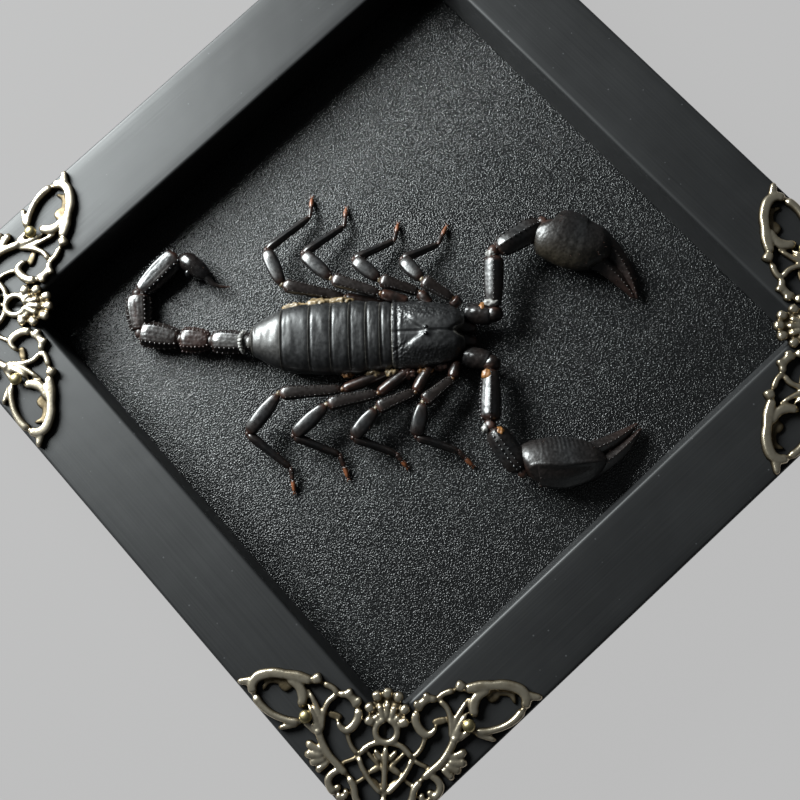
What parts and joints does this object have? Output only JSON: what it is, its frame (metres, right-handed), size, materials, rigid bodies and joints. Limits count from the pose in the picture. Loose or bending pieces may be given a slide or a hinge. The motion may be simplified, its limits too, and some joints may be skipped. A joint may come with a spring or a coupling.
{
  "type": "framed scorpion specimen",
  "caption": "Dried black forest scorpion laid on a leatherette panel in a square black box frame with cast filigree corners, for a wall or a shelf.",
  "frame": {"origin": "middle of the frame's back, in the plane of its back faces", "axes": "+Z out of the open front, X and Y along the frame's sides; seen as a diamond, the corner at -X +Y is the top"},
  "size_m": [0.15, 0.15, 0.0226],
  "materials": {
    "black_paint": "matte black paint over wood",
    "board": "raw fibreboard",
    "leatherette": "black pebbled leatherette",
    "steel": "plain steel strip",
    "antique_bronze": "cast, antique bronze plating with dark recesses",
    "brass": "dull brass",
    "chitin": "glossy black-brown chitin"
  },
  "bodies": {
    "root": {"rail_bottom_left": "black_paint", "rail_bottom_right": "black_paint", "rail_top_right": "black_paint", "rail_top_left": "black_paint", "backing_board": "board", "leatherette_cover": "leatherette", "board_point_bottom_left_a": "steel", "board_point_bottom_left_b": "steel", "board_point_bottom_right_a": "steel", "board_point_bottom_right_b": "steel", "board_point_top_right_a": "steel", "board_point_top_right_b": "steel", "board_point_top_left_a": "steel", "board_point_top_left_b": "steel", "corner_right": "antique_bronze", "corner_top": "antique_bronze", "corner_left": "antique_bronze", "corner_bottom": "antique_bronze", "nail_right_a": "brass", "nail_right_b": "brass", "nail_top_a": "brass", "nail_top_b": "brass", "nail_left_a": "brass", "nail_left_b": "brass", "nail_bottom_a": "brass", "nail_bottom_b": "brass", "scorpion_body": "chitin", "scorpion_tail": "chitin", "scorpion_claw_left": "chitin", "scorpion_claw_right": "chitin", "scorpion_leg_left_1": "chitin", "scorpion_leg_left_2": "chitin", "scorpion_leg_left_3": "chitin", "scorpion_leg_left_4": "chitin", "scorpion_leg_right_1": "chitin", "scorpion_leg_right_2": "chitin", "scorpion_leg_right_3": "chitin", "scorpion_leg_right_4": "chitin"}
  },
  "joints": []
}
